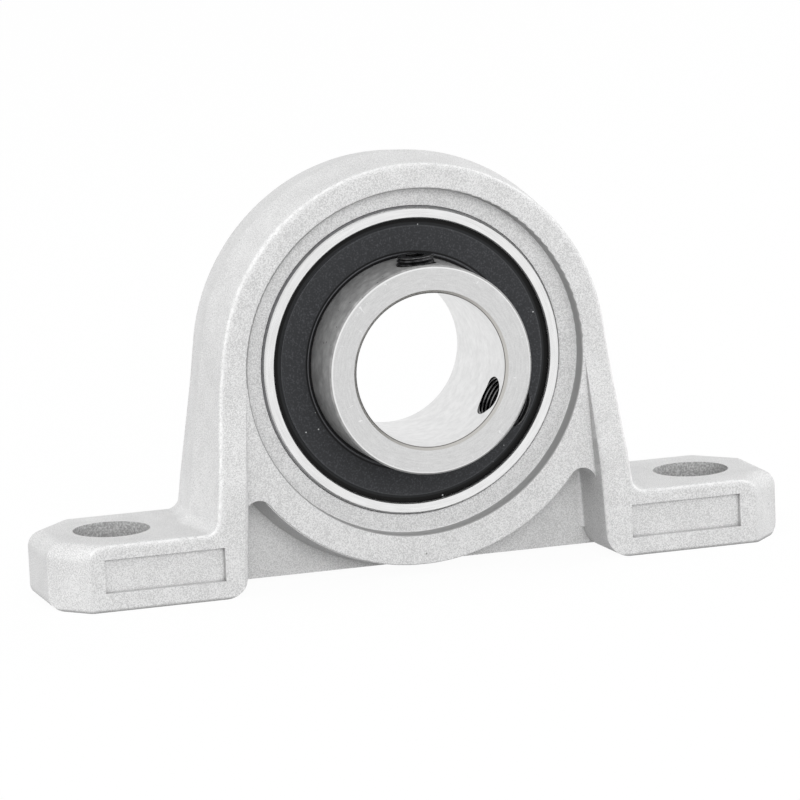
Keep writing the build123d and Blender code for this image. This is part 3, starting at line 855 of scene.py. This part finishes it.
def screwBlank(shape):
    # a bar with its outer end chamfered and its point drawn to a knurled cone
    length, point = shape["length"], shape["pointHeight"]
    radius = shape["blankShare"] * shape["majorRadius"]
    bpy.ops.object.select_all(action="DESELECT")
    bpy.ops.mesh.primitive_cylinder_add(vertices=shape["sides"], radius=radius,
                                        depth=length - point, location=(0, 0, (length + point) / 2))
    blank = bpy.context.object
    bpy.ops.object.transform_apply(location=True, rotation=True, scale=True)
    mesh = freshEdit(blank)
    for face in mesh.faces:
        face.select = face.normal.z > shape["levelNormal"]
    bpy.ops.mesh.bevel(offset=shape["endChamfer"], segments=1, affect="EDGES")
    mesh = bmesh.from_edit_mesh(blank.data)
    for face in mesh.faces:
        face.select = face.normal.z < -shape["levelNormal"]
    bpy.ops.mesh.extrude_region_move(TRANSFORM_OT_translate={"value": (0, 0, -point)})
    narrow = shape["pointRadius"] / radius
    bpy.ops.transform.resize(value=(narrow, narrow, 1), center_override=(0, 0, 0))
    mesh = freshEdit(blank, "VERT")
    foot = [vertex for vertex in mesh.verts if vertex.co.z < point / 2]
    foot.sort(key=lambda vertex: vertex.co.xy.angle_signed(Vector((1, 0))))
    for vertex in foot[::2]:
        vertex.select = True
    mesh.select_flush(False)
    bpy.ops.transform.resize(value=(shape["knurl"], shape["knurl"], 1), center_override=(0, 0, 0))
    bpy.ops.object.mode_set(mode="OBJECT")
    return blank


def makeScrew(shape):
    # thread, then the blank's outline, the socket and the cup
    length, spare = shape["length"], shape["spareLength"]
    screw = threadedRod(shape["rootRadius"], shape["majorRadius"], -spare, length + spare, shape)
    cutWith(screw, screwBlank(shape), "INTERSECT")
    bpy.ops.object.select_all(action="DESELECT")
    bpy.ops.mesh.primitive_cylinder_add(vertices=6, radius=shape["socketWidth"] / sqrt(3),
                                        depth=2 * shape["socketDepth"], location=(0, 0, length))
    cutWith(screw, bpy.context.object, "DIFFERENCE")
    bpy.ops.object.select_all(action="DESELECT")  # the cone's middle lies at the screw's end
    bpy.ops.mesh.primitive_cone_add(vertices=shape["sides"] // 2, radius1=2 * shape["cupRadius"],
                                    radius2=0, depth=2 * shape["cupDepth"], location=(0, 0, 0))
    cutWith(screw, bpy.context.object, "DIFFERENCE")
    return screw


# inner ring: the CAD ring with its two holes tapped

tapShape = {
    "rootRadius": 2.5 * mm,
    "majorRadius": 2.76 * mm,
    "low": 8.0 * mm,  # from the shaft's line
    "high": 15.2 * mm,
    "firstMerge": 0.0005 * mm,
    "merge": 0.001 * mm,
    "smoothAngle": 25,
}


def makeRing(shape):
    ring = copyOf(nodes["inner_ring"], "tapped_inner_ring")
    activate(ring)
    bpy.ops.mesh.customdata_custom_splitnormals_clear()
    cleanMesh(ring, shape["firstMerge"], outwards=False)
    for name in screwNames:
        middle, way = outwardsFrom(name)
        tap = threadedRod(shape["rootRadius"], shape["majorRadius"], shape["low"], shape["high"],
                          screwShape)
        placeAlong(tap, Vector((shaftCentre.x, middle.y, shaftCentre.z)), way)
        cutWith(ring, tap, "DIFFERENCE")
    cleanMesh(ring, shape["merge"], outwards=False)
    bpy.ops.object.shade_smooth_by_angle(angle=radians(shape["smoothAngle"]))
    return ring


ring = makeRing(tapShape)
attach(ring, "inner_ring")
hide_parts("inner_ring")
print("inner ring tapped:", len(ring.data.polygons), "faces")

secondScrew = makeScrew(screwShape)
secondScrew.name = "threaded_screw_2"
firstScrew = copyOf(secondScrew, "threaded_screw_1")
for name, screw in zip(screwNames, (firstScrew, secondScrew)):
    middle, way = outwardsFrom(name)
    placeAlong(screw, middle - way * screwShape["length"] / 2, way)
    screw.data.materials.clear()
    screw.data.materials.append(screwSteel)
    cleanMesh(screw, screwShape["merge"])
    bpy.ops.object.shade_smooth_by_angle(angle=radians(screwShape["smoothAngle"]))
    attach(screw, name)
    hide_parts(name)
print("set screws threaded:", len(firstScrew.data.polygons), "faces each")
